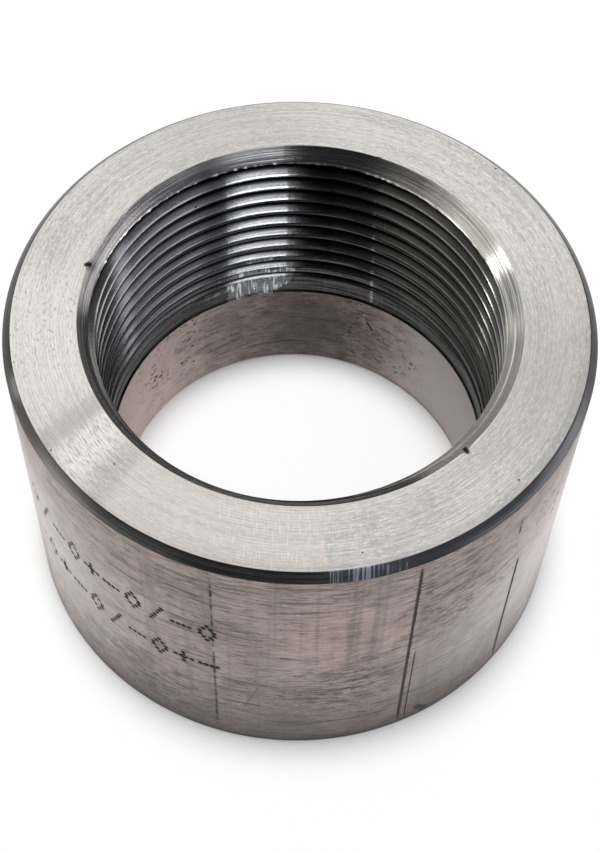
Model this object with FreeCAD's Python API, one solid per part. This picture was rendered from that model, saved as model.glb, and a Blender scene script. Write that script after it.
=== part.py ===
import FreeCAD, Part
import math
import os

# Threaded half coupling for welding onto a pipe wall, in millimetres.
# It stands on its plain weld end, centred on +Z, with the threaded mouth up.

# Body, turned from a hollow bar
outer_diameter = 64.0
length = 40.0
mouth_chamfer = 0.85
weld_edge_break = 0.3

# Plain bore below the thread, left as the bar's raw hole
bore_diameter = 44.0
bore_edge_break = 0.35

# Straight drilled hole that the thread is cut in, and how deep it goes
drilled_diameter = 44.5
threaded_wall_depth = 25.7

# Countersink at the mouth, its width measured outward from the drilled hole
countersink_width = 1.8
countersink_half_angle = 45.0

# Taper pipe thread, right hand, one inch in sixteen on the diameter.
# The drilled hole takes this much off the tip of its V crests at the mouth.
pitch = 25.4 / 11.5
taper_on_diameter = 1.0 / 16.0
flank_half_angle = 30.0
crest_truncation = 0.007

# Direction, counter-clockwise from +X, where the helix of the groove's root passes the mouth face
groove_start_angle = 132.0

# Start of the groove: turns below that point where it enters the countersink, and has its full depth
entry_turn = 0.45
full_depth_turn = 0.85

# End of the groove: the turns over which it runs out, and the plain land left below it
runout_turns = 1.7
last_land = 0.7

# Thread cutter: its clearance inside the hole, and how far its back lies inside the drilled hole
cutter_clearance = 0.02
cutter_back = 1.0

# How finely the cutter's curves are laid out, and the share of a patch that gives its end slopes
widest_patch_angle = 120.0
stations_per_patch = 7
slope_step = 1e-5

outer_radius = outer_diameter / 2.0
bore_radius = bore_diameter / 2.0
drilled_radius = drilled_diameter / 2.0
taper_slope = taper_on_diameter / 2.0
flank_slope = math.tan(math.radians(flank_half_angle))
countersink_depth = countersink_width / math.tan(math.radians(countersink_half_angle))

# A V sharp at its root, whose crests are cut off by the drilled hole, wider and wider downwards
sharp_height = pitch / (2.0 * flank_slope)
root_radius_at_mouth = drilled_radius + sharp_height - crest_truncation
groove_end_depth = threaded_wall_depth - last_land
full_form_depth = groove_end_depth - runout_turns * pitch


def turned_blank():
    """The body with its bore, drilled hole, countersink and chamfers, before it is threaded."""
    wall_end_z = length - threaded_wall_depth
    outline = [
        (bore_radius + bore_edge_break, 0.0),
        (outer_radius - weld_edge_break, 0.0),
        (outer_radius, weld_edge_break),
        (outer_radius, length - mouth_chamfer),
        (outer_radius - mouth_chamfer, length),
        (drilled_radius + countersink_width, length),
        (drilled_radius, length - countersink_depth),
        (drilled_radius, wall_end_z),
        (bore_radius, wall_end_z),
        (bore_radius, bore_edge_break),
    ]
    points = [FreeCAD.Vector(radius, 0.0, z) for radius, z in outline]
    section = Part.Face(Part.makePolygon(points + [points[0]]))
    return section.revolve(FreeCAD.Vector(0, 0, 0), FreeCAD.Vector(0, 0, 1), 360.0)


def hole_radius(depth_below_mouth):
    """Radius of the countersunk and drilled hole that the groove is cut in."""
    still_countersunk = max(1.0 - depth_below_mouth / countersink_depth, 0.0)
    return drilled_radius + countersink_width * still_countersunk


def root_radius(turn):
    """Radius of the groove's root: from the hole's wall out to the taper, and back at its end."""
    depth_below_mouth = pitch * turn
    on_taper = root_radius_at_mouth - depth_below_mouth * taper_slope
    at_wall = hole_radius(depth_below_mouth) - cutter_clearance / 2.0
    cut_in = min((turn - entry_turn) / (full_depth_turn - entry_turn), 1.0)
    run_out = max((depth_below_mouth - full_form_depth) / (groove_end_depth - full_form_depth), 0.0)
    return at_wall + (on_taper - at_wall) * (cut_in - run_out)


def cutter_section(turn):
    """Corners of the cutter's section, a number of turns down from the mouth face."""
    tip_z = length - pitch * turn
    tip_radius = root_radius(turn)
    shoulder_radius = drilled_radius - cutter_clearance
    reach = (tip_radius - shoulder_radius) * flank_slope
    corners = [
        (tip_radius, tip_z),
        (shoulder_radius, tip_z + reach),
        (drilled_radius - cutter_back, tip_z),
        (shoulder_radius, tip_z - reach),
    ]
    angle = math.radians(groove_start_angle) - 2.0 * math.pi * turn
    outward = FreeCAD.Vector(math.cos(angle), math.sin(angle), 0.0)
    return [outward * radius + FreeCAD.Vector(0.0, 0.0, z) for radius, z in corners]


def cutter_curve(corner, first_turn, last_turn):
    """One long edge of the cutter between two turns, a smooth curve through its stations."""
    span = last_turn - first_turn
    shares = [step / (stations_per_patch - 1) for step in range(stations_per_patch)]
    points = [cutter_section(first_turn + span * share)[corner] for share in shares]
    leaving = cutter_section(first_turn + span * slope_step)[corner] - points[0]
    arriving = points[-1] - cutter_section(last_turn - span * slope_step)[corner]
    curve = Part.BSplineCurve()
    curve.interpolate(
        Points=points,
        Parameters=shares,
        InitialTangent=leaving / slope_step,
        FinalTangent=arriving / slope_step,
        Scale=False,
    )
    return curve.toShape()


def thread_cutter():
    """A closed helical bar of the groove's section, from its entry to its run-out."""
    stages = [entry_turn, full_depth_turn, full_form_depth / pitch, groove_end_depth / pitch]
    corner_count = len(cutter_section(entry_turn))
    faces = []
    for start, end in zip(stages, stages[1:]):
        patches = math.ceil((end - start) * 360.0 / widest_patch_angle)
        bounds = [start + (end - start) * patch / patches for patch in range(patches + 1)]
        for first_turn, last_turn in zip(bounds, bounds[1:]):
            edges = [cutter_curve(corner, first_turn, last_turn) for corner in range(corner_count)]
            for edge, neighbour in zip(edges, edges[1:] + edges[:1]):
                faces.append(Part.makeRuledSurface(edge, neighbour))
    for turn in (stages[0], stages[-1]):
        corners = cutter_section(turn)
        faces.append(Part.Face(Part.makePolygon(corners + [corners[0]])))
    shell = Part.makeShell(faces)
    shell.sewShape()
    return Part.makeSolid(shell)


def coupling_body():
    """The finished coupling, one solid."""
    return turned_blank().cut(thread_cutter()).Solids[0]


os.makedirs("parts", exist_ok=True)
coupling_body().exportStep("parts/coupling_body.step")
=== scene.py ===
import math

import bmesh
import bpy
import numpy as np
from mathutils import Matrix, Vector


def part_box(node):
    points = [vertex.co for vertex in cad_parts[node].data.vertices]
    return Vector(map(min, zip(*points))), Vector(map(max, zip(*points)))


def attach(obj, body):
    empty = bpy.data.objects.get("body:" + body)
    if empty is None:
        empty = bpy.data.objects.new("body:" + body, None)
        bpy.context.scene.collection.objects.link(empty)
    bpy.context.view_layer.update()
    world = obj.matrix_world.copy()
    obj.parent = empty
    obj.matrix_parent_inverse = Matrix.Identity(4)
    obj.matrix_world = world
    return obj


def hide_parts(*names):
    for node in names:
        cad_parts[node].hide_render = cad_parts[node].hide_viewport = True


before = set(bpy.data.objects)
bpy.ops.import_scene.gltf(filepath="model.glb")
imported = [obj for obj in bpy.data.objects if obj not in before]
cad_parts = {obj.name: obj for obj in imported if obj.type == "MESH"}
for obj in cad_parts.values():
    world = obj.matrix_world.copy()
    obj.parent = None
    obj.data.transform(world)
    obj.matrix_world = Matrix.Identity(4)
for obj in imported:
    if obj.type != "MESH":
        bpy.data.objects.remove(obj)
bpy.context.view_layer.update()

MM = 0.001

# Body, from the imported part
node_low, node_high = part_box("coupling_body")
outer_radius = (node_high.x - node_low.x) / 2.0
length = node_high.z - node_low.z

# Sizes from the part's source that its box doesn't show. Depths are measured down from the mouth,
# and turns of the groove are counted from its start direction.
mouth_chamfer = 0.85 * MM
weld_edge_break = 0.3 * MM
bore_radius = 22.0 * MM
bore_edge_break = 0.35 * MM
drilled_radius = 22.25 * MM
wall_depth = 25.7 * MM
countersink_width = 1.8 * MM
inch, threads_per_inch = 25.4 * MM, 11.5
pitch = inch / threads_per_inch
taper_slope = 1.0 / 32.0
crest_truncation = 0.007 * MM
groove_start_angle = 132.0
entry_turn, full_depth_turn = 0.45, 0.85
groove_end_depth = wall_depth - 0.7 * MM
run_out_turns = 1.7
full_form_depth = groove_end_depth - run_out_turns * pitch
flank_angle = math.radians(30.0)
flank_rise = 1.0 / math.tan(flank_angle)
root_radius_at_mouth = drilled_radius + pitch / 2.0 * flank_rise - crest_truncation

# Fineness of the mesh: columns of the inside, degrees between those of the outside, and rows of
# the plain walls and the ends. Points closer than same_place are joined. Then the rounding that
# the sharp edges get.
inner_columns = 360
outer_step = 1.5
wall_row_count, bore_row_count = 16, 8
face_row_shares, weld_row_shares = (0.25, 0.5, 0.75), (0.33, 0.66)
same_place = 1e-4 * MM
least_rounding = 1e-9
edge_round = 0.06 * MM
crest_round = 0.3 * MM
crest_band = crest_round / flank_rise
sharp_edge_angle = math.radians(28.0)

# Traces of the cutting: the cutter's scratch where it enters, the burr on the first crest, and
# nicks in the mouth's edge, each with its direction, width and reach
scratch_turn, scratch_depth = 0.16, 0.05 * MM
burr_from_turn, burr_to_turn, burr_fade_turns = 0.86, 1.34, 0.05
burr_most, burr_least_share = 0.15 * MM, 0.15
nicked_depth = 0.3 * MM
nicks = [
    (315.0, 0.5 * MM, 0.22 * MM),
    (167.4, 0.45 * MM, 0.4 * MM),
    (69.0, 0.2 * MM, 0.1 * MM),
]

# Dotted marking: two rows of plain strokes, struck into the outside wall
mark_rows = [25.3 * MM, 17.55 * MM]
mark_height = 3.2 * MM
mark_from_angle, mark_to_angle = 205.0, 259.0
stroke_spacing = 2.9 * MM
dot_spacing = 0.7 * MM
dot_radius = 0.34 * MM
dot_depth = 0.14 * MM
dark_dent = 0.7 * dot_depth
slant_lean, diamond_width = 0.45, 0.6
marking_mesh_step = 0.125 * MM

# Seams along the outside wall: angle, lowest and highest point, width and depth
seams = [
    (255.4, 0.4 * MM, 38.6 * MM, 0.34 * MM, 0.042 * MM),
    (293.0, 0.4 * MM, 38.6 * MM, 0.28 * MM, 0.11 * MM),
    (294.5, 1.0 * MM, 19.0 * MM, 0.12 * MM, 0.09 * MM),
    (318.3, 1.0 * MM, 25.8 * MM, 0.28 * MM, 0.12 * MM),
    (316.0, 33.0 * MM, 36.7 * MM, 0.28 * MM, 0.07 * MM),
]


def hole_radius(depth):
    """Radius of the countersunk and drilled hole that the groove is cut in."""
    return drilled_radius + np.maximum(countersink_width - depth, 0.0)


def root_radius(turn):
    """Radius of the groove's root: a scratch in the countersink, then the groove and its run-out."""
    depth = pitch * turn
    on_taper = root_radius_at_mouth - depth * taper_slope
    at_wall = hole_radius(depth)
    cut_in = np.clip((turn - entry_turn) / (full_depth_turn - entry_turn), 0.0, 1.0)
    run_out = np.clip((depth - full_form_depth) / (groove_end_depth - full_form_depth), 0.0, 1.0)
    scratched = (turn > scratch_turn) & (turn < full_depth_turn)
    cut = at_wall + (on_taper - at_wall) * (cut_in - run_out)
    return np.maximum(cut, at_wall + scratch_depth * scratched)


def groove_edges(turn):
    """Depths at which the groove starts and ends in the wall."""
    root, depth = root_radius(turn), pitch * turn
    reach = (root - drilled_radius) / flank_rise
    rim = drilled_radius + countersink_width
    upper_in_countersink = (rim - root + flank_rise * depth) / (1.0 + flank_rise)
    lower_in_countersink = (root + flank_rise * depth - rim) / (flank_rise - 1.0)
    upper = np.where(depth - reach < countersink_width, upper_in_countersink, depth - reach)
    lower = np.where(lower_in_countersink < countersink_width, lower_in_countersink, depth + reach)
    return np.minimum(upper, depth), np.maximum(lower, depth)


def burr_height(turn):
    """How far the ragged burr stands in from the first full crest, which the countersink cuts."""
    chance = np.random.default_rng(3)
    raggedness = chance.random(len(turn)) ** 3
    raggedness[-1] = raggedness[0]
    from_end = np.minimum(turn - burr_from_turn, burr_to_turn - turn)
    height = burr_most * np.clip(from_end / burr_fade_turns, 0.0, 1.0)
    return height * (burr_least_share + (1.0 - burr_least_share) * raggedness)


def nick_reach(angles, depths):
    """How far the small nicks in the mouth's edge reach outwards."""
    total = np.zeros(np.broadcast(angles, depths).shape)
    for angle, width, reach in nicks:
        away = (angles - angle + 180.0) % 360.0 - 180.0
        across = np.radians(away) * (drilled_radius + countersink_width) / width
        total += reach * np.exp(-across ** 2) * np.clip(1.0 - depths / nicked_depth, 0.0, 1.0)
    return total


def thread_rows(angles):
    """Depths, radii and recesses of the threaded wall, a column for each direction.

    The columns run clockwise through one turn. After the level rows at the mouth, a groove's rows
    at the end of the turn are the next groove's rows at its start. The last two values are the
    number of level rows, and how many rows further on the next groove is. A recess is 0 on the
    wall, 1 at the groove's root and -1 where the burr is highest.
    """
    share = np.linspace(0.0, 1.0, inner_columns + 1)
    grooves = np.arange(-1, math.ceil(groove_end_depth / pitch) + 2)
    turns = grooves[:, None] + share[None, :]
    roots = pitch * turns
    upper, lower = groove_edges(turns)
    crests = (lower[:-1] + upper[1:]) / 2.0
    mouth = [np.full(len(share), depth) for depth in (0.0, nicked_depth / 2.0)]
    depths, owners, burrs = [], [], []
    for block in range(len(grooves) - 1):
        start, root, end = upper[block], roots[block], lower[block]
        above = crests[block - 1] if block else start - pitch / 2.0
        below = crests[block]
        flank_middle = (root + end) / 2.0
        flank_end = np.maximum(end - crest_band, flank_middle)
        land_start = np.minimum(end + crest_band, below)
        land_end = np.maximum(upper[block + 1] - crest_band, below)
        lines = [
            np.maximum(start - crest_band, above),
            start,
            np.minimum(start + crest_band, (start + root) / 2.0),
            root,
            flank_middle,
            flank_end,
            (flank_end + end) / 2.0,
            end,
            (end + land_start) / 2.0,
            land_start,
            np.clip(countersink_width, land_start, land_end),
        ]
        depths += lines
        owners += [turns[block]] * len(lines)
        burr = burr_height(turns[block])
        burrs += [0.5 * burr, burr] + [np.zeros(len(share))] * (len(lines) - 2)
    depths = np.array(mouth + [np.clip(line, nicked_depth, wall_depth) for line in depths])
    owners = np.array([turns[0]] * len(mouth) + owners)
    burrs = np.array([np.zeros(len(share))] * len(mouth) + burrs)
    wall = hole_radius(depths)
    root = root_radius(owners)
    cut = np.maximum(root - hole_radius(pitch * owners), 0.0)
    groove = root - np.abs(depths - pitch * owners) * flank_rise
    rounding = np.maximum(np.minimum(crest_round, cut / 2.0), least_rounding)
    blend = np.maximum(rounding - np.abs(wall - groove), 0.0)
    radii = np.maximum(wall, groove) + blend ** 2 / (4.0 * rounding)
    recess = np.clip((radii - wall) / np.maximum(cut, scratch_depth), 0.0, 1.0)
    radii += nick_reach(angles, depths) - burrs
    return depths, radii, recess - burrs / burr_most, len(mouth), len(lines)


class Skin:
    """Points and faces of a closed mesh, with a recess for each point and a material for each face."""

    def __init__(self):
        self.points = []
        self.recesses = []
        self.faces = []
        self.materials = []

    def add_points(self, points, recesses):
        """Adds an array of points and returns their numbers in the same layout."""
        flat = points.reshape(-1, 3)
        first = len(self.points)
        self.points.extend(flat)
        self.recesses.extend(np.broadcast_to(recesses, points.shape[:-1]).reshape(-1))
        return np.arange(first, first + len(flat)).reshape(points.shape[:-1])

    def add_faces(self, corners, material):
        """Adds faces, one row of corner numbers each, of one material or of one each."""
        self.faces.extend(corners.tolist())
        self.materials.extend(np.broadcast_to(material, len(corners)).tolist())

    def mesh(self, name, materials):
        """The mesh, with points that share a place joined and faces without area left out."""
        points = np.array(self.points)
        keys = np.round(points / same_place).astype(np.int64)
        _, first, number = np.unique(keys, axis=0, return_index=True, return_inverse=True)
        number = number.reshape(-1)
        faces, slots = [], []
        for corners, material in zip(self.faces, self.materials):
            kept = []
            for corner in (int(number[c]) for c in corners):
                if corner not in kept:
                    kept.append(corner)
            if len(kept) > 2:
                faces.append(kept)
                slots.append(material)
        made = bpy.data.meshes.new(name)
        made.from_pydata(points[first].tolist(), [], faces)
        for material in materials:
            made.materials.append(material)
        made.polygons.foreach_set("material_index", slots)
        recess = made.attributes.new("recess", "FLOAT", "POINT")
        recess.data.foreach_set("value", np.array(self.recesses)[first])
        return made


def on_axis(radii, angles, heights):
    """Points from radius, direction in degrees and height."""
    turned = np.radians(angles)
    radii, turned, heights = np.broadcast_arrays(radii, turned, heights)
    return np.stack([radii * np.cos(turned), radii * np.sin(turned), heights], axis=-1)


def quads(grid):
    """Corner numbers of the faces between neighbouring rows and columns of a grid of points."""
    corners = [grid[:-1, :-1], grid[1:, :-1], grid[1:, 1:], grid[:-1, 1:]]
    return np.stack(corners, axis=-1).reshape(-1, 4)


def stitch(skin, ring_a, angles_a, ring_b, angles_b, material):
    """Triangles between two closed rings whose points lie in different directions."""
    count_a, count_b = len(ring_a), len(ring_b)
    a = b = 0
    faces = []
    while a < count_a or b < count_b:
        next_a = angles_a[(a + 1) % count_a] + 360.0 * ((a + 1) // count_a)
        next_b = angles_b[(b + 1) % count_b] + 360.0 * ((b + 1) // count_b)
        here_a, here_b = ring_a[a % count_a], ring_b[b % count_b]
        if b == count_b or (a < count_a and next_a <= next_b):
            a += 1
            faces.append([here_a, ring_a[a % count_a], here_b])
        else:
            b += 1
            faces.append([here_a, ring_b[b % count_b], here_b])
    skin.add_faces(np.array(faces), material)


def softened(outline, size):
    """An outline of (radius, height) with each inner corner replaced by three points."""
    corners = [Vector(point) for point in outline]
    line = [corners[0]]
    for before, corner, after in zip(corners, corners[1:], corners[2:]):
        start = corner + (before - corner).normalized() * size
        end = corner + (after - corner).normalized() * size
        line += [start, (start + end) / 4.0 + corner / 2.0, end]
    return line + [corners[-1]]


# Places of the metals in the body's list of materials
FACE, CHAMFER, COUNTERSINK, THREAD, LAND, BORE, WALL = range(7)


def add_inside(skin):
    """Thread, ledge and raw bore. Returns the rings at the mouth and at the weld end."""
    columns = inner_columns + 1
    angles = groove_start_angle - 360.0 * np.linspace(0.0, 1.0, columns)
    depths, radii, recess, level_rows, rows_per_turn = thread_rows(angles[None, :])
    ledge = [
        (drilled_radius, length - wall_depth),
        (bore_radius, length - wall_depth),
        (bore_radius, bore_edge_break),
        (bore_radius + bore_edge_break, 0.0),
    ]
    # Each softened corner takes up three points, so the bore runs from the third to the fourth
    below = softened(ledge, edge_round)[1:]
    bore_top, bore_bottom = below[2], below[3]
    shares = np.linspace(0.0, 1.0, bore_row_count)[1:-1]
    steps = [bore_top.lerp(bore_bottom, share) for share in shares]
    below = below[:3] + steps + below[3:]
    below_radii = np.repeat([[point.x] for point in below], columns, axis=1)
    below_heights = np.repeat([[point.y] for point in below], columns, axis=1)
    all_radii = np.concatenate([radii, below_radii])
    heights = np.concatenate([length - depths, below_heights])
    recesses = np.concatenate([recess, np.zeros(below_radii.shape)])
    grid = skin.add_points(on_axis(all_radii, angles[None, :], heights), recesses)
    thread_row_count = len(depths)
    rows = np.arange(level_rows, thread_row_count)
    grid[:level_rows, -1] = grid[:level_rows, 0]
    grid[rows, -1] = grid[np.minimum(rows + rows_per_turn, thread_row_count - 1), 0]
    grid[thread_row_count:, -1] = grid[thread_row_count:, 0]
    depth = (depths[:-1, :-1] + depths[1:, 1:]) / 2.0
    radius = (radii[:-1, :-1] + radii[1:, 1:]) / 2.0
    # A face is of the wall's metal where the groove hardly reaches it, and where it may be nicked
    in_countersink = depth < countersink_width
    least_cut = crest_round / 4.0 + scratch_depth * in_countersink
    in_wall = (radius - hole_radius(depth) < least_cut) | (depth < nicked_depth)
    zone = np.where(in_wall, np.where(in_countersink, COUNTERSINK, LAND), THREAD)
    skin.add_faces(quads(grid[:thread_row_count]), zone.reshape(-1))
    skin.add_faces(quads(grid[thread_row_count - 1:thread_row_count + 2]), LAND)
    skin.add_faces(quads(grid[thread_row_count + 1:]), BORE)
    order = np.argsort(angles[:-1] % 360.0)
    sorted_angles = (angles[:-1] % 360.0)[order]
    return (grid[0, :-1][order], sorted_angles), (grid[-1, :-1][order], sorted_angles)


def stroke_dots():
    """Places of the marking's dots, each (distance along the wall, height), in a plain pattern."""
    tall = np.linspace(-0.5, 0.5, round(mark_height / dot_spacing) + 1) * mark_height
    short = tall[1:-1]
    slant = [(slant_lean * up, up) for up in tall]
    dash = [(along, 0.0) for along in short]
    plus = dash + [(0.0, up) for up in short]
    sides = (-diamond_width, diamond_width)
    diamond = [(side * (tall[-1] - abs(up)), up) for side in sides for up in tall]
    order = [diamond, slant, dash, diamond, plus, dash]
    shift_by_row = 2
    start = math.radians(mark_from_angle) * outer_radius + stroke_spacing / 2.0
    end = math.radians(mark_to_angle) * outer_radius - stroke_spacing / 2.0
    dots = []
    for row, height in enumerate(mark_rows):
        for number, along in enumerate(np.arange(start, end, stroke_spacing)):
            stroke = order[(number + shift_by_row * row) % len(order)]
            dots += [(along + dot_along, height + dot_up) for dot_along, dot_up in stroke]
    return np.array(dots)


def outer_angles():
    """Directions of the outside's columns: even steps, with fine ones at the marking and seams."""
    fine = math.degrees(marking_mesh_step / outer_radius)
    angles = list(np.arange(0.0, 360.0, outer_step))
    angles = [a for a in angles if not mark_from_angle <= a <= mark_to_angle]
    angles += list(np.arange(mark_from_angle, mark_to_angle, fine))
    for angle, _, _, width, _ in seams:
        if mark_from_angle < angle < mark_to_angle:
            continue
        half = math.degrees(width / outer_radius)
        cleared = 1.6 * half
        angles = [a for a in angles if abs(a - angle) > cleared]
        angles += [angle + half * share for share in (-1.5, -1.0, -0.5, 0.0, 0.5, 1.0, 1.5)]
    return np.array(sorted(angles))


def wall_heights(top, bottom):
    """Heights of the outside wall's rows, fine where the marking is."""
    fine_half = mark_height / 2.0 + 2.0 * dot_radius
    levels = list(np.linspace(top, bottom, wall_row_count))
    for height in mark_rows:
        levels = [z for z in levels if abs(z - height) > fine_half]
        levels += list(np.arange(height - fine_half, height + fine_half, marking_mesh_step))
    return sorted(levels, reverse=True)


def wall_relief(angles, heights):
    """How far the outside wall is dented, and how much painted shade that gives it, from 0 to 1."""
    along = np.radians(angles)[None, :] * outer_radius
    up = np.array(heights)[:, None]
    depth = np.zeros((len(heights), len(angles)))
    for dot_along, dot_up in stroke_dots():
        near_columns = np.flatnonzero(np.abs(along[0] - dot_along) < dot_radius)
        near_rows = np.flatnonzero(np.abs(up[:, 0] - dot_up) < dot_radius)
        if not len(near_columns) or not len(near_rows):
            continue
        part = np.ix_(near_rows, near_columns)
        squares = (along[:, near_columns] - dot_along) ** 2 + (up[near_rows] - dot_up) ** 2
        bowl = dot_depth * np.maximum(1.0 - squares / dot_radius ** 2, 0.0)
        depth[part] = np.maximum(depth[part], bowl)
    for angle, low, high, width, most in seams:
        across = np.maximum(1.0 - np.abs(along - math.radians(angle) * outer_radius) / width, 0.0)
        inside = np.clip(np.minimum(up - low, high - up) / MM, 0.0, 1.0)
        depth = np.maximum(depth, most * across * inside)
    return depth, np.clip(depth / dark_dent, 0.0, 1.0)


def add_outside(skin, mouth, weld):
    """Top face, chamfer, outside wall and weld end, joined to the rings of the inside."""
    face_inner = drilled_radius + 1.6 * countersink_width
    weld_inner = bore_radius + 2.0 * bore_edge_break
    outline = [
        (face_inner, length),
        (outer_radius - mouth_chamfer, length),
        (outer_radius, length - mouth_chamfer),
        (outer_radius, weld_edge_break),
        (outer_radius - weld_edge_break, 0.0),
        (weld_inner, 0.0),
    ]
    # Two softened corners of three points each lie before the wall, which starts at point 6
    line = softened(outline, edge_round)
    face_steps = [line[0].lerp(line[1], share) for share in face_row_shares]
    weld_steps = [line[-2].lerp(line[-1], share) for share in weld_row_shares]
    wall_top, wall_bottom = line[6], line[7]
    levels = wall_heights(wall_top.y, wall_bottom.y)
    before = [line[0]] + face_steps + line[1:6]
    after = line[8:-1] + weld_steps + [line[-1]]
    angles = outer_angles()
    dent, darkness = wall_relief(angles, levels)
    radii = np.concatenate([
        np.repeat([[point.x] for point in before], len(angles), axis=1),
        outer_radius - dent,
        np.repeat([[point.x] for point in after], len(angles), axis=1),
    ])
    heights = [point.y for point in before] + levels + [point.y for point in after]
    recesses = np.zeros(radii.shape)
    recesses[len(before):len(before) + len(levels)] = darkness
    grid = skin.add_points(on_axis(radii, angles[None, :], np.array(heights)[:, None]), recesses)
    ring = np.concatenate([grid, grid[:, :1]], axis=1)
    last_face = len(face_steps) + 1
    first_wall = len(before) - 1
    first_weld = len(before) + len(levels) + 2
    skin.add_faces(quads(ring[:last_face + 1]), FACE)
    skin.add_faces(quads(ring[last_face:first_wall + 1]), CHAMFER)
    skin.add_faces(quads(ring[first_wall:first_weld + 1]), WALL)
    skin.add_faces(quads(ring[first_weld:]), FACE)
    stitch(skin, grid[0], angles, mouth[0], mouth[1], FACE)
    stitch(skin, grid[-1], angles, weld[0], weld[1], FACE)


def build_body(materials):
    """The detailed body, one closed mesh."""
    skin = Skin()
    mouth, weld = add_inside(skin)
    add_outside(skin, mouth, weld)
    mesh = skin.mesh("threaded_body", materials)
    shaped = bmesh.new()
    shaped.from_mesh(mesh)
    bmesh.ops.recalc_face_normals(shaped, faces=shaped.faces)
    shaped.to_mesh(mesh)
    shaped.free()
    mesh.shade_smooth()
    mesh.set_sharp_from_angle(angle=sharp_edge_angle)
    body = bpy.data.objects.new("threaded_body", mesh)
    bpy.context.scene.collection.objects.link(body)
    return body


def fill_inputs(tree, target, inputs):
    """Fills a node's inputs, each named or numbered, from another node's output or a plain value."""
    for key, value in inputs.items():
        if isinstance(value, bpy.types.NodeSocket):
            tree.links.new(value, target.inputs[key])
        else:
            target.inputs[key].default_value = value


def node(tree, kind, inputs=(), output=0, **settings):
    """Adds a node with its settings and inputs, and returns one of its outputs."""
    made = tree.nodes.new(kind)
    for name, value in settings.items():
        setattr(made, name, value)
    fill_inputs(tree, made, inputs if isinstance(inputs, dict) else dict(enumerate(inputs)))
    return made.outputs[output]


def calculate(tree, operation, *values):
    """The output of a Math node."""
    return node(tree, "ShaderNodeMath", values, operation=operation)


def smooth_step(tree, value, start, end):
    """0 where value is at start and 1 where it is at end, with a smooth rise between them."""
    inputs = (value, start, end, 0.0, 1.0)
    return node(tree, "ShaderNodeMapRange", inputs, interpolation_type="SMOOTHSTEP")


def window(tree, value, start, end, edge):
    """1 between start and end and 0 outside, with soft edges, all in degrees."""
    middle, half = (start + end) / 2.0, (end - start) / 2.0
    away = calculate(tree, "SUBTRACT", value, middle)
    away = calculate(tree, "WRAP", away, 180.0, -180.0)
    away = calculate(tree, "ABSOLUTE", away)
    return smooth_step(tree, away, half + edge / 2.0, half - edge / 2.0)


# The Mix node's two inputs and its output for each kind of value
MIX_SOCKETS = {"FLOAT": (2, 3, 0), "RGBA": (6, 7, 2)}


def mix(tree, kind, share, first, second):
    """A number or a colour between first and second."""
    first_input, second_input, output = MIX_SOCKETS[kind]
    inputs = {0: share, first_input: first, second_input: second}
    return node(tree, "ShaderNodeMix", inputs, output, data_type=kind)


def scale(tree, vector, factor):
    """A vector times a number."""
    return node(tree, "ShaderNodeVectorMath", {0: vector, "Scale": factor}, operation="SCALE")


def direction(tree, x, y):
    """Direction of a place seen from the axis, in degrees."""
    return calculate(tree, "DEGREES", calculate(tree, "ARCTAN2", y, x))


def place_at(angle, radius, height):
    """A place from its direction in degrees, its distance from the axis and its height."""
    turned = math.radians(angle)
    return Vector((radius * math.cos(turned), radius * math.sin(turned), height))


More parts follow.
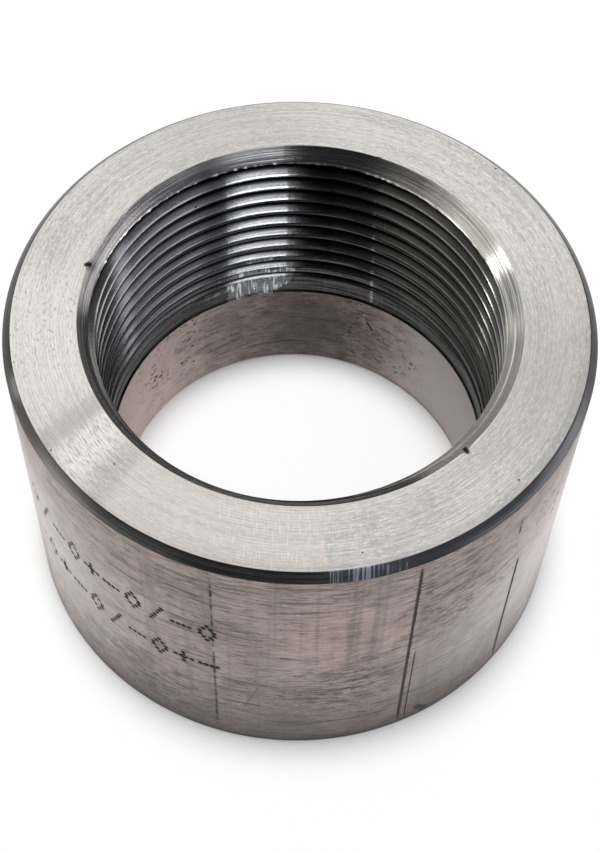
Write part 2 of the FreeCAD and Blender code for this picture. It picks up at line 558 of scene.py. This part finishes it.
class Metal:
    """A metal and the parts that its look is built from. Lengths in the looks are millimetres.

    The look is a base colour with coats over it, and relief. Most methods give a mask for a coat,
    which is 1 where the coat covers and 0 where it doesn't.
    """

    def __init__(self, name):
        self.material = bpy.data.materials.new(name)
        self.material.use_nodes = True
        self.tree = self.material.node_tree
        self.color = None
        self.normal = None
        metres = node(self.tree, "ShaderNodeTexCoord", output="Object")
        self.place = self.vector("MULTIPLY", metres, (1.0 / MM,) * 3)
        self.x = node(self.tree, "ShaderNodeSeparateXYZ", (self.place,))
        self.y, self.height = self.x.node.outputs[1], self.x.node.outputs[2]
        squares = [self.both(part, part) for part in (self.x, self.y)]
        self.radius = calculate(self.tree, "SQRT", calculate(self.tree, "ADD", *squares))
        # The place, moved to and fro by up to half the reach, gives the spots uneven edges
        wander_size, wander_reach = 2.5, 12.0
        wander = self.noise(self.place, wander_size, 3.0, 0.65).node.outputs["Color"]
        wander = self.vector("SUBTRACT", wander, (0.5, 0.5, 0.5))
        self.near_place = self.vector("MULTIPLY_ADD", wander, (wander_reach,) * 3, self.place)

    def vector(self, operation, *values, output=0):
        """An output of a Vector Math node."""
        return node(self.tree, "ShaderNodeVectorMath", values, output, operation=operation)

    def noise(self, vector, size, detail=2.0, roughness=0.5):
        """Noise from 0 to 1 with grains of a size in millimetres, one number or one for each axis."""
        sizes = size if isinstance(size, tuple) else (size, size, size)
        scaled = self.vector("MULTIPLY", vector, tuple(1.0 / part for part in sizes))
        inputs = {"Vector": scaled, "Scale": 1.0, "Detail": detail, "Roughness": roughness}
        return node(self.tree, "ShaderNodeTexNoise", inputs)

    def lines_around(self, across, spacing, reach, detail):
        """Uneven lines round the axis, about as long as reach, spaced in the coordinate across."""
        vector = node(self.tree, "ShaderNodeCombineXYZ", (self.x, self.y, across))
        return self.noise(vector, (reach, reach, spacing), detail)

    def feed_lines(self, across, spacing):
        """The cutter's even feed lines, a wave from -1 to 1 in the coordinate across them."""
        turned = calculate(self.tree, "MULTIPLY", across, 2.0 * math.pi / spacing)
        return calculate(self.tree, "SINE", turned)

    def level(self, value, start, end):
        """0 to 1 as value goes from start to end."""
        return smooth_step(self.tree, value, start, end)

    def between(self, share, first, second):
        """A number between first and second."""
        return mix(self.tree, "FLOAT", share, first, second)

    def both(self, first, second):
        """First times second."""
        return calculate(self.tree, "MULTIPLY", first, second)

    def most(self, *values):
        """The largest of the values."""
        result = values[0]
        for value in values[1:]:
            result = calculate(self.tree, "MAXIMUM", result, value)
        return result

    def pits(self, cell, size, share):
        """Small round pits: the size of the cells that may hold one, its radius and how many do."""
        inputs = {"Vector": self.vector("MULTIPLY", self.place, (1.0 / cell,) * 3), "Scale": 1.0}
        distance = node(self.tree, "ShaderNodeTexVoronoi", inputs)
        chosen = node(self.tree, "ShaderNodeSeparateColor", (distance.node.outputs["Color"],))
        chosen = calculate(self.tree, "LESS_THAN", chosen, share)
        return self.both(self.level(distance, size / cell, 0.5 * size / cell), chosen)

    def spot(self, angle, radius, height, size):
        """1 at a place and 0 at about a distance of size from it, with an uneven edge."""
        centre = place_at(angle, radius, height)
        away = self.vector("DISTANCE", self.near_place, centre, output=1)
        return self.level(away, size, 0.0)

    def spots(self, *places):
        """Several spots at once, each (angle, radius, height, size)."""
        return self.most(*[self.spot(*place) for place in places])

    def sector(self, start, end, edge):
        """1 between two directions from the axis and 0 outside, with soft edges, all in degrees."""
        return window(self.tree, direction(self.tree, self.x, self.y), start, end, edge)

    def scratch(self, start, end, width):
        """1 on a straight line between two places, each (angle, radius, height)."""
        first, last = place_at(*start), place_at(*end)
        along = last - first
        from_first = self.vector("SUBTRACT", self.place, first)
        share = self.vector("DOT_PRODUCT", from_first, along / along.length_squared, output=1)
        share = node(self.tree, "ShaderNodeClamp", (share, 0.0, 1.0))
        away = self.vector("DISTANCE", from_first, scale(self.tree, along, share), output=1)
        return self.level(away, width, 0.3 * width)

    def recess(self):
        """The mesh's own value: 1 at the groove's root, in the dots and the seams, -1 on the burr."""
        settings = {"attribute_name": "recess", "attribute_type": "GEOMETRY"}
        return node(self.tree, "ShaderNodeAttribute", output="Fac", **settings)

    def base(self, low, high, share):
        """Starts the look with a colour between low and high."""
        self.color = low
        self.coat(high, share)

    def coat(self, color, mask, share=1.0):
        """Covers the look so far with a colour where the mask is 1, wholly or by a share."""
        if share != 1.0:
            mask = self.both(mask, share)
        self.color = mix(self.tree, "RGBA", mask, self.color, color)

    def raise_by(self, value, height):
        """Adds relief: value 1 stands height millimetres above value 0."""
        inputs = {"Height": value, "Distance": height * MM}
        if self.normal is not None:
            inputs["Normal"] = self.normal
        self.normal = node(self.tree, "ShaderNodeBump", inputs)

    def finish(self, metallic, roughness, lathe_lines):
        """Gives the look to the shader and returns the material.

        Lathe lines round the axis stretch its reflections, from not at all at 0 to fully at 1.
        """
        across_lines = 0.25
        look = {
            "Base Color": self.color,
            "Metallic": metallic,
            "Roughness": roughness,
            "Normal": self.normal,
            "Anisotropic": lathe_lines,
            "Anisotropic Rotation": across_lines,
            "Tangent": node(self.tree, "ShaderNodeTangent", direction_type="RADIAL", axis="Z"),
        }
        fill_inputs(self.tree, self.tree.nodes["Principled BSDF"], look)
        return self.material


def grey(brightness, warmth=0.0):
    """A grey, warmer for a positive warmth and bluish for a negative one."""
    return (brightness * (1.0 + warmth), brightness, brightness * (1.0 - warmth), 1.0)


def pinkish(brightness):
    """The faint pink brown of pickled stainless steel."""
    return (1.17 * brightness, 0.945 * brightness, 0.865 * brightness, 1.0)


# Colour of dirt, deep marks and painted shade, and places for the looks: the height of the mouth's
# face, and the radii of the outside wall and the raw bore
blackened = grey(0.008, 0.1)
top_mm, wall_mm, bore_mm = 40.0, 32.0, 22.0


def turned_face():
    """The faced ends: fine rings from the facing cut, grain, faint blotches and a few pits."""
    metal = Metal("turned face")
    rings = metal.lines_around(metal.radius, spacing=0.3, reach=16.0, detail=0.0)
    broken = metal.lines_around(metal.radius, spacing=0.15, reach=0.8, detail=1.0)
    blotches = metal.noise(metal.place, 6.0, 3.0, 0.6)
    grain = metal.noise(metal.place, 0.25, 1.0)
    metal.base(grey(0.5, 0.01), grey(0.61, 0.03), metal.level(blotches, 0.3, 0.7))
    metal.coat(grey(0.8, 0.02), metal.level(rings, 0.5, 0.7), 0.25)
    metal.coat(grey(0.3, 0.02), metal.level(rings, 0.45, 0.3), 0.25)
    fine = metal.both(metal.level(broken, 0.45, 0.7), metal.level(grain, 0.3, 0.7))
    metal.coat(grey(0.76, 0.02), fine)
    dark = metal.both(metal.level(broken, 0.48, 0.3), metal.level(grain, 0.65, 0.35))
    metal.coat(grey(0.28, 0.04), dark, 0.5)
    # Painted warm reflection on a sector of the face round the axis
    warm = metal.sector(231.0, 276.0, 1.5)
    metal.coat((0.74, 0.67, 0.63, 1.0), warm, 0.4)
    # Painted highlight: a bright radial streak across the face, broken by the fine lines
    bright = metal.scratch((217.7, bore_mm, top_mm), (222.5, wall_mm, top_mm), 2.9)
    bright = metal.both(bright, metal.level(broken, 0.25, 0.65))
    metal.coat(grey(0.92, 0.05), bright, 0.55)
    # Painted dark reflections: radial streaks on both sides of the bright one, and two broad darker
    # patches
    painted_dark_streaks_and_patches = metal.most(
        metal.scratch((210.0, bore_mm, top_mm), (214.8, wall_mm, top_mm), 1.7),
        metal.both(metal.scratch((227.0, bore_mm, top_mm), (231.0, wall_mm, top_mm), 1.7), 0.6),
        metal.spot(345.0, 29.0, top_mm, 18.0),
        metal.both(metal.spot(112.0, 28.0, top_mm, 20.0), 0.6),
    )
    metal.coat(grey(0.36, 0.03), painted_dark_streaks_and_patches, 0.45)
    # Painted light on a sector of the face round the axis
    light = metal.sector(172.0, 208.0, 16.0)
    metal.coat(grey(0.8, 0.02), light, 0.4)
    feed = metal.feed_lines(metal.radius, spacing=0.33)
    feed = metal.both(metal.level(feed, 0.2, 1.0), metal.level(blotches, 0.35, 0.65))
    metal.coat(grey(0.3, 0.04), feed, 0.3)
    # Bright streaks across the face's front, running out from the axis
    front_bright_streaks = metal.level(metal.noise(metal.place, (0.18, 1.6, 1.0), 2.0), 0.52, 0.72)
    front_bright_streaks = metal.both(front_bright_streaks, metal.spot(266.0, 27.0, top_mm, 13.0))
    metal.coat(grey(0.95), front_bright_streaks, 0.5)
    rusty = metal.spots(
        (48.0, 29.5, top_mm, 9.0),
        (185.0, 30.5, top_mm, 13.0),
        (155.0, 30.5, top_mm, 8.0),
    )
    dashes = metal.lines_around(metal.radius, spacing=0.2, reach=0.6, detail=2.0)
    rusty = metal.both(metal.level(dashes, 0.43, 0.33), metal.level(rusty, 0.0, 0.5))
    metal.coat((0.3, 0.25, 0.2, 1.0), rusty, 0.55)
    darken_notches(metal)
    pits = metal.pits(cell=1.3, size=0.14, share=0.08)
    metal.coat(grey(0.06, 0.1), pits)
    metal.raise_by(rings, 0.006)
    metal.raise_by(grain, 0.005)
    metal.raise_by(pits, -0.05)
    return metal.finish(metallic=1.0, roughness=metal.between(grain, 0.26, 0.42), lathe_lines=0.5)


def darken_notches(metal):
    """Darkens the metal at the two larger notches of the mouth's edge."""
    left = metal.scratch((167.6, 24.3, top_mm), (167.0, 24.0, 39.8), 0.4)
    right = metal.scratch((314.8, 24.3, top_mm), (315.4, 23.8, 39.7), 0.4)
    metal.coat(grey(0.03, 0.1), metal.most(left, right))


def turned_slope(metal, radius_factor, brightness, warmth, spacing, relief):
    """Gives a metal the look of a turned cone with clear feed lines, and their relief.

    The coordinate across the lines is the height plus the radius times radius_factor.
    """
    across = calculate(metal.tree, "MULTIPLY_ADD", metal.radius, radius_factor, metal.height)
    lines = metal.lines_around(across, spacing=spacing, reach=22.0, detail=0.0)
    fine = metal.lines_around(across, spacing=0.35 * spacing, reach=3.0, detail=1.0)
    blotches = metal.noise(metal.place, 2.5, 2.0)
    feed = metal.feed_lines(across, spacing)
    low, high = grey(0.6 * brightness, warmth), grey(1.3 * brightness, warmth)
    metal.base(low, high, metal.level(lines, 0.42, 0.58))
    metal.coat(grey(0.3 * brightness, warmth), metal.level(feed, 0.0, 0.8), 0.55)
    metal.coat(grey(1.8 * brightness, warmth), metal.level(fine, 0.5, 0.75), 0.5)
    metal.coat(grey(0.9 * brightness, warmth + 0.03), metal.level(blotches, 0.6, 0.8))
    metal.raise_by(lines, relief)
    metal.raise_by(fine, 0.005)


def turned_chamfer():
    """The chamfer round the mouth: nearly black, with painted bluish and warm glints, some on chatter
    ticks.
    """
    metal = Metal("turned chamfer")
    turned_slope(metal, radius_factor=-1.0, brightness=0.04, warmth=0.0, spacing=0.3, relief=0.014)
    bluish, painted_warm_glint = metal.sector(276.3, 350.0, 0.6), metal.sector(206.0, 231.0, 8.0)
    # Painted bluish reflection on a sector of the chamfer
    metal.coat((0.05, 0.052, 0.065, 1.0), bluish, 0.5)
    # Painted warm glint on a sector of the chamfer
    metal.coat(grey(0.16, 0.15), painted_warm_glint, 0.3)
    # The cutter's chatter ticks, with a painted bluish glint on them in one sector near one place
    painted_glint_on_chatter = metal.level(metal.noise(metal.place, (0.16, 6.0, 6.0), 1.0), 0.45, 0.65)
    painted_glint_on_chatter = metal.both(painted_glint_on_chatter, metal.sector(276.3, 291.0, 0.6))
    painted_glint_on_chatter = metal.both(painted_glint_on_chatter, metal.level(metal.spot(281.0, 31.6, 39.6, 7.0), 0.0, 0.5))
    metal.coat((0.3, 0.32, 0.4, 1.0), painted_glint_on_chatter, 0.7)
    return metal.finish(metallic=0.5, roughness=0.2, lathe_lines=0.9)


def countersink():
    """The cone at the thread's start, with painted dark reflections at the back, painted light on the
    right and a painted highlight on the burr's edge.
    """
    metal = Metal("countersink")
    turned_slope(metal, radius_factor=1.0, brightness=0.4, warmth=0.01, spacing=0.36, relief=0.02)
    # Painted light on the cone's right side; the first of these sectors also makes the metal less
    # metallic
    painted_light_right = metal.sector(302.0, 352.0, 10.0)
    beside_painted_light_right = metal.both(metal.sector(345.0, 361.0, 8.0), 0.7)
    pale = metal.most(painted_light_right, beside_painted_light_right, metal.sector(22.0, 52.0, 8.0))
    metal.coat(grey(0.85, 0.06), pale, 0.6)
    # Painted dark reflections at the back of the cone
    dark = metal.both(metal.sector(30.0, 96.5, 1.0), metal.sector(66.0, 150.0, 18.0))
    dark = metal.most(metal.both(dark, 0.55), metal.both(metal.sector(80.0, 138.0, 8.0), 0.4))
    metal.coat(grey(0.04), dark)
    # Painted highlight on the burr's edge
    burr = metal.level(metal.recess(), -0.15, -0.6)
    metal.coat(grey(0.85), burr)
    darken_notches(metal)
    return metal.finish(metallic=metal.between(painted_light_right, 0.94, 0.78), roughness=0.23, lathe_lines=0.9)


def cut_thread():
    """The thread's flanks: cut metal with fine lines, painted highlights at the crests, painted shade
    at the root and painted reflections in sectors.
    """
    metal = Metal("cut thread")
    lines = metal.lines_around(metal.height, spacing=0.14, reach=10.0, detail=1.0)
    chatter = metal.noise(metal.place, (0.35, 0.35, 2.0), 1.0)
    metal.base(grey(0.13), grey(0.24), metal.level(lines, 0.3, 0.7))
    metal.coat(grey(0.3, 0.02), metal.level(chatter, 0.5, 0.8), 0.6)
    recess = metal.recess()
    # Painted highlight on the crests, where the recess is small
    metal.coat(grey(0.9, -0.01), metal.level(recess, 0.18, 0.02))
    # Painted glint on the flanks in one sector
    glint = metal.sector(152.5, 159.5, 6.0)
    metal.coat(grey(0.8, -0.03), glint, 0.55)
    # Painted dark reflection beside the bright band
    beside_bright = metal.both(metal.sector(114.3, 160.0, 1.2), metal.sector(100.0, 123.0, 10.0))
    metal.coat(grey(0.06), beside_bright, 0.55)
    # Painted dark and dusky reflections in two sectors at the back
    dark, dusky = metal.sector(80.5, 95.0, 1.0), metal.sector(67.0, 80.5, 2.0)
    metal.coat(grey(0.02, 0.05), dark, 0.65)
    metal.coat(grey(0.04, 0.08), dusky, 0.35)
    # Painted dark reflection on the thread's right side
    right = metal.sector(-40.0, 42.0, 12.0)
    metal.coat(grey(0.07, 0.02), right, 0.5)
    # Painted shade toward the groove's root
    metal.coat(grey(0.012), metal.level(recess, 0.25, 0.6))
    rub_crests(metal, lines, 1.0)
    pits = metal.pits(cell=1.6, size=0.2, share=0.06)
    metal.coat(grey(0.02), pits)
    metal.raise_by(lines, 0.005)
    metal.raise_by(chatter, 0.006)
    metal.raise_by(pits, -0.08)
    return metal.finish(metallic=1.0, roughness=0.22, lathe_lines=0.9)


def rub_crests(metal, lines, share):
    """Adds a broken bright line down the crests, rubbed by something drawn through the thread."""
    line = metal.scratch((68.0, 22.3, 36.0), (66.0, 22.25, 15.0), 0.3)
    metal.coat(grey(0.9), metal.both(line, metal.level(lines, 0.4, 0.55)), share)


def thread_land():
    """The crests that the drill left flat: darker and rougher, with coarse lines and chatter."""
    metal = Metal("thread land")
    lines = metal.lines_around(metal.height, spacing=0.22, reach=5.0, detail=1.0)
    chatter = metal.noise(metal.place, (0.3, 0.3, 2.5), 1.0)
    ridges = metal.level(chatter, 0.52, 0.68)
    metal.base(grey(0.02), grey(0.1), metal.level(lines, 0.35, 0.65))
    metal.coat(grey(0.2), ridges, 0.15)
    # Painted highlight in a patch of the land, bluish, brightest on the chatter ridges
    painted_light_patch = metal.level(metal.spot(105.0, 22.25, 17.0, 5.5), 0.1, 0.3)
    metal.coat(grey(0.24, -0.04), painted_light_patch, 0.7)
    metal.coat(grey(0.9, -0.03), metal.both(painted_light_patch, ridges), 0.7)
    rub_crests(metal, lines, 0.35)
    metal.raise_by(lines, 0.06)
    metal.raise_by(chatter, 0.015)
    return metal.finish(metallic=1.0, roughness=0.34, lathe_lines=0.9)


def raw_skin(metal, share):
    """Gives a metal the look of raw pickled steel, and returns its roughness.

    The share scales the brightness of its colours.
    """
    streaks = metal.lines_around(metal.height, spacing=0.18, reach=1.8, detail=2.0)
    smudges = metal.lines_around(metal.height, spacing=0.75, reach=7.0, detail=4.0)
    blotches = metal.noise(metal.place, 6.0, 4.0, 0.65)
    grain = metal.noise(metal.place, 0.3, 2.0)
    metal.base(pinkish(0.25 * share), pinkish(0.38 * share), metal.level(blotches, 0.3, 0.7))
    metal.coat(pinkish(0.08 * share), metal.level(streaks, 0.48, 0.32), 0.85)
    metal.coat(pinkish(0.07 * share), metal.level(smudges, 0.46, 0.32), 0.75)
    bright = metal.both(metal.level(streaks, 0.54, 0.72), metal.level(grain, 0.4, 0.7))
    metal.coat(pinkish(0.62 * share), bright, 0.75)
    specks = metal.noise(metal.place, (0.45, 0.45, 0.2), 2.0, 0.6)
    specks = metal.both(metal.level(specks, 0.63, 0.69), metal.level(blotches, 0.55, 0.45))
    metal.coat(grey(0.012, 0.1), specks)
    pits = metal.pits(cell=1.1, size=0.16, share=0.12)
    metal.coat(grey(0.02), pits)
    metal.raise_by(streaks, 0.02)
    metal.raise_by(grain, 0.012)
    metal.raise_by(pits, -0.06)
    return metal.between(grain, 0.35, 0.6)


def clustered_specks(metal, *clusters):
    """Groups of dark specks near several places, each (angle, radius, height, size)."""
    near = metal.spots(*clusters)
    groups = metal.level(metal.noise(metal.place, 2.2, 2.0), 0.42, 0.58)
    specks = metal.noise(metal.place, (0.7, 0.7, 0.35), 2.0, 0.65)
    specks = metal.both(metal.level(specks, 0.57, 0.63), metal.level(near, 0.0, 0.4))
    return metal.both(specks, groups)


def raw_bore():
    """The raw hole of the bar below the thread: streaked, speckled dark in places and pitted, with
    painted light at its sides and a painted dark reflection at its back.
    """
    metal = Metal("raw bore")
    roughness = raw_skin(metal, 1.0)
    # Painted light at the bore's sides, away from its back
    pale = metal.level(metal.spot(92.0, bore_mm, 7.0, 26.0), 0.75, 0.0)
    metal.coat(pinkish(0.75), pale, 0.7)
    # Painted dark reflection at the bore's back
    painted_dark_reflection = metal.spot(88.0, bore_mm, 7.0, 17.0)
    metal.coat(pinkish(0.035), painted_dark_reflection, 0.85)
    # Painted light, cooler in tint, on the bore's right side
    cool = metal.sector(-20.0, 50.0, 25.0)
    metal.coat((0.62, 0.61, 0.62, 1.0), cool, 0.65)
    specks = clustered_specks(metal, (62.0, bore_mm, 8.0, 10.0), (139.0, bore_mm, 10.0, 10.0))
    metal.coat(blackened, specks)
    crack = metal.scratch((66.5, bore_mm, 10.5), (64.5, bore_mm, 9.3), 0.25)
    metal.coat(grey(0.008), crack)
    metal.raise_by(specks, -0.05)
    return metal.finish(metallic=0.3, roughness=roughness, lathe_lines=0.9)


def pickled_wall():
    """The outside wall: pickled bar with streaks, smudges, bands, seams and the struck dots."""
    metal = Metal("pickled wall")
    roughness = raw_skin(metal, 0.85)
    bands = metal.noise(metal.place, (1.2, 1.2, 60.0), 2.0, 0.6)
    metal.coat(pinkish(0.14), metal.level(bands, 0.5, 0.35), 0.4)
    scaly = metal.spots(
        (212.0, wall_mm, 16.0, 16.0),
        (302.0, wall_mm, 30.0, 11.0),
        (280.0, wall_mm, 15.0, 9.0),
        (240.0, wall_mm, 4.0, 14.0),
    )
    patches = metal.lines_around(metal.height, spacing=0.35, reach=1.6, detail=4.0)
    patches = metal.both(metal.level(patches, 0.52, 0.6), metal.level(scaly, 0.0, 0.5))
    metal.coat(pinkish(0.05), patches, 0.8)
    rubbed = metal.level(metal.spot(280.0, wall_mm, 27.0, 12.0), 0.1, 0.7)
    rubbed = metal.both(rubbed, metal.level(bands, 0.4, 0.6))
    metal.coat((0.55, 0.38, 0.33, 1.0), rubbed, 0.35)
    cool = metal.level(metal.spot(312.0, wall_mm, 15.0, 15.0), 0.1, 0.7)
    metal.coat((0.24, 0.265, 0.27, 1.0), cool, 0.4)
    # Painted shade towards the bottom of the wall's front
    painted_shade_low = metal.both(metal.level(metal.height, 16.0, 0.0), metal.sector(222.0, 322.0, 36.0))
    metal.coat(pinkish(0.06), painted_shade_low, 0.65)
    # Painted shade at the foot of the wall, and a painted dark contact line along its lowest edge
    painted_shade_foot, edge = metal.level(metal.height, 2.5, 0.0), metal.level(metal.height, 0.8, 0.3)
    metal.coat(grey(0.02, 0.1), painted_shade_foot, 0.6)
    metal.coat(blackened, edge)
    # Painted light on the wall's left and right sides
    pale = metal.spots((206.0, wall_mm, 21.0, 25.0), (338.0, wall_mm, 21.0, 25.0))
    metal.coat((0.76, 0.7, 0.7, 1.0), pale, 0.7)
    specks = clustered_specks(metal, (308.0, wall_mm, 26.0, 6.0), (329.0, wall_mm, 31.0, 7.0))
    metal.coat(blackened, specks)
    scratch = metal.scratch((264.0, wall_mm, 14.5), (261.0, wall_mm, 8.5), 0.12)
    metal.coat(grey(0.06), scratch, 0.6)
    chip = metal.scratch((297.3, wall_mm, 2.6), (299.2, wall_mm, 1.3), 0.7)
    metal.coat(blackened, chip)
    # Painted shade in the struck dots and the seams, darker the deeper they are, made uneven by noise
    uneven = metal.noise(metal.place, (3.0, 3.0, 0.8), 2.0, 0.6)
    struck = calculate(metal.tree, "MULTIPLY_ADD", uneven, 0.8, metal.recess())
    metal.coat(blackened, metal.level(struck, 0.58, 0.85))
    return metal.finish(metallic=0.5, roughness=roughness, lathe_lines=0.5)


def place_camera():
    """The camera, at the photograph's place and with its perspective.

    The numbers come from fitting the outlines of the part's edges in the photograph.
    """
    focal_pixels = 1533.73
    frame_height_pixels = 853.0
    elevation = math.radians(50.9075)
    roll = math.radians(1.747)
    distance = 4.9025 * outer_radius
    target = Vector((-0.0099, 0.0, 1.5847)) * outer_radius
    centre_above_middle_pixels = 180.0
    back = Vector((0.0, -math.cos(elevation), math.sin(elevation)))
    right = Vector((1.0, 0.0, 0.0))
    up = Vector((0.0, math.sin(elevation), math.cos(elevation)))
    camera_x = right * math.cos(roll) + up * math.sin(roll)
    camera_y = up * math.cos(roll) - right * math.sin(roll)
    data = bpy.data.cameras.new("camera")
    data.sensor_width = 36.0
    data.lens = focal_pixels * data.sensor_width / frame_height_pixels
    data.shift_y = -centre_above_middle_pixels / frame_height_pixels
    data.clip_start = 0.01
    camera = bpy.data.objects.new("camera", data)
    placed = Matrix((camera_x, camera_y, back)).transposed().to_4x4()
    placed.translation = target + back * distance
    camera.matrix_world = placed
    bpy.context.scene.collection.objects.link(camera)
    bpy.context.scene.camera = camera


def floor_material():
    """A pale floor that looks white, except close to the part, where its contact shadow lies.

    The white is seen in plain view, in reflections and through openings. It lights nothing.
    """
    paint = (0.95, 0.95, 0.95, 1.0)
    white_share = 0.86
    contact_reach, all_shadow, no_shadow = 7.0 * MM, 0.3, 1.0
    material = bpy.data.materials.new("floor")
    material.use_nodes = True
    tree = material.node_tree
    shader = tree.nodes["Principled BSDF"]
    fill_inputs(tree, shader, {"Base Color": paint, "Roughness": 1.0, "Specular IOR Level": 0.0})
    seen = node(tree, "ShaderNodeLightPath", output="Is Camera Ray")
    path = seen.node
    seen = calculate(tree, "MAXIMUM", seen, path.outputs["Is Glossy Ray"])
    seen = calculate(tree, "MAXIMUM", seen, path.outputs["Is Transmission Ray"])
    open_sky = node(tree, "ShaderNodeAmbientOcclusion", {"Distance": contact_reach}, output="AO")
    open_sky = smooth_step(tree, open_sky, all_shadow, no_shadow)
    share = calculate(tree, "MULTIPLY", seen, calculate(tree, "MULTIPLY", open_sky, white_share))
    white = node(tree, "ShaderNodeEmission", ((1.0, 1.0, 1.0, 1.0), 1.0))
    mixed = node(tree, "ShaderNodeMixShader", (share, shader.outputs[0], white))
    tree.links.new(mixed, tree.nodes["Material Output"].inputs["Surface"])
    return material


def lay_floor():
    """A plain floor, which shows as the white background and keeps the part's soft shadow."""
    mesh = bpy.data.meshes.new("floor")
    half = 3.0
    corners = [(-half, -half, 0.0), (half, -half, 0.0), (half, half, 0.0), (-half, half, 0.0)]
    mesh.from_pydata(corners, [], [(0, 1, 2, 3)])
    mesh.materials.append(floor_material())
    floor = bpy.data.objects.new("floor", mesh)
    bpy.context.scene.collection.objects.link(floor)


# Soft panels round the part: azimuth from and to and its edge, elevation from and to and its
# edge, in degrees, then strength and colour. Azimuth 90 is behind the part, and -90 is the
# camera's side.
panels = [
    (50.0, 142.0, 20.0, 14.0, 78.0, 10.0, 1.2, (1.0, 0.99, 0.965)),
    (-8.0, 38.0, 8.0, -2.0, 22.0, 8.0, 1.2, (1.0, 0.96, 0.98)),
    (-30.0, 28.0, 12.0, 32.0, 80.0, 8.0, 0.75, (0.91, 0.88, 1.0)),
    (138.0, 198.0, 16.0, -2.0, 28.0, 8.0, 0.9, (1.0, 1.0, 0.93)),
    (145.0, 222.0, 30.0, 32.0, 80.0, 8.0, 0.22, (1.0, 1.0, 0.9)),
    (162.0, 168.0, 2.0, 5.0, 24.0, 4.0, 8.0, (1.0, 1.0, 0.94)),
    (186.0, 236.0, 16.0, -2.0, 11.0, 6.0, 5.0, (1.0, 0.99, 0.96)),
    (-40.0, 15.0, 16.0, -2.0, 8.0, 4.0, 5.5, (1.0, 1.0, 1.0)),
    (-75.0, -30.0, 2.0, 2.0, 44.0, 6.0, 0.2, (0.88, 0.92, 1.0)),
    (-80.0, -42.0, 1.5, 51.0, 66.0, 3.0, 7.0, (0.93, 0.95, 1.0)),
]
room_light = (0.03, 0.03, 0.033, 1.0)


def light_room():
    """A dim room with the soft panels, which the metal mirrors."""
    world = bpy.data.worlds.new("studio")
    world.use_nodes = True
    tree = world.node_tree
    sight = node(tree, "ShaderNodeTexCoord", output="Generated")
    x = node(tree, "ShaderNodeSeparateXYZ", (sight,))
    y, z = x.node.outputs[1], x.node.outputs[2]
    azimuth = direction(tree, x, y)
    elevation = calculate(tree, "DEGREES", calculate(tree, "ARCSINE", z))
    light = node(tree, "ShaderNodeRGB")
    light.default_value = room_light
    for az_from, az_to, az_edge, el_from, el_to, el_edge, strength, color in panels:
        across = window(tree, azimuth, az_from, az_to, az_edge)
        upward = window(tree, elevation, el_from, el_to, el_edge)
        share = calculate(tree, "MULTIPLY", across, upward)
        tint = [strength * part for part in color]
        panel = scale(tree, tint, share)
        light = node(tree, "ShaderNodeVectorMath", (light, panel), operation="ADD")
    tree.links.new(light, tree.nodes["Background"].inputs["Color"])
    bpy.context.scene.world = world


def hang_lamp():
    """One broad lamp, nearly straight above, that lights the floor and casts the soft shadow."""
    from_behind, from_left = math.radians(3.5), math.radians(1.5)
    lamp = bpy.data.lights.new("overhead", "SUN")
    lamp.energy = 1.8
    lamp.angle = math.radians(9.0)
    overhead = bpy.data.objects.new("overhead", lamp)
    overhead.rotation_euler = (-from_behind, -from_left, 0.0)
    overhead.visible_glossy = False
    bpy.context.scene.collection.objects.link(overhead)


metals = [
    turned_face(),
    turned_chamfer(),
    countersink(),
    cut_thread(),
    thread_land(),
    raw_bore(),
    pickled_wall(),
]
body = build_body(metals)
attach(body, "root")
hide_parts("coupling_body")
lay_floor()
place_camera()
light_room()
hang_lamp()
bpy.context.scene.view_settings.view_transform = "Standard"
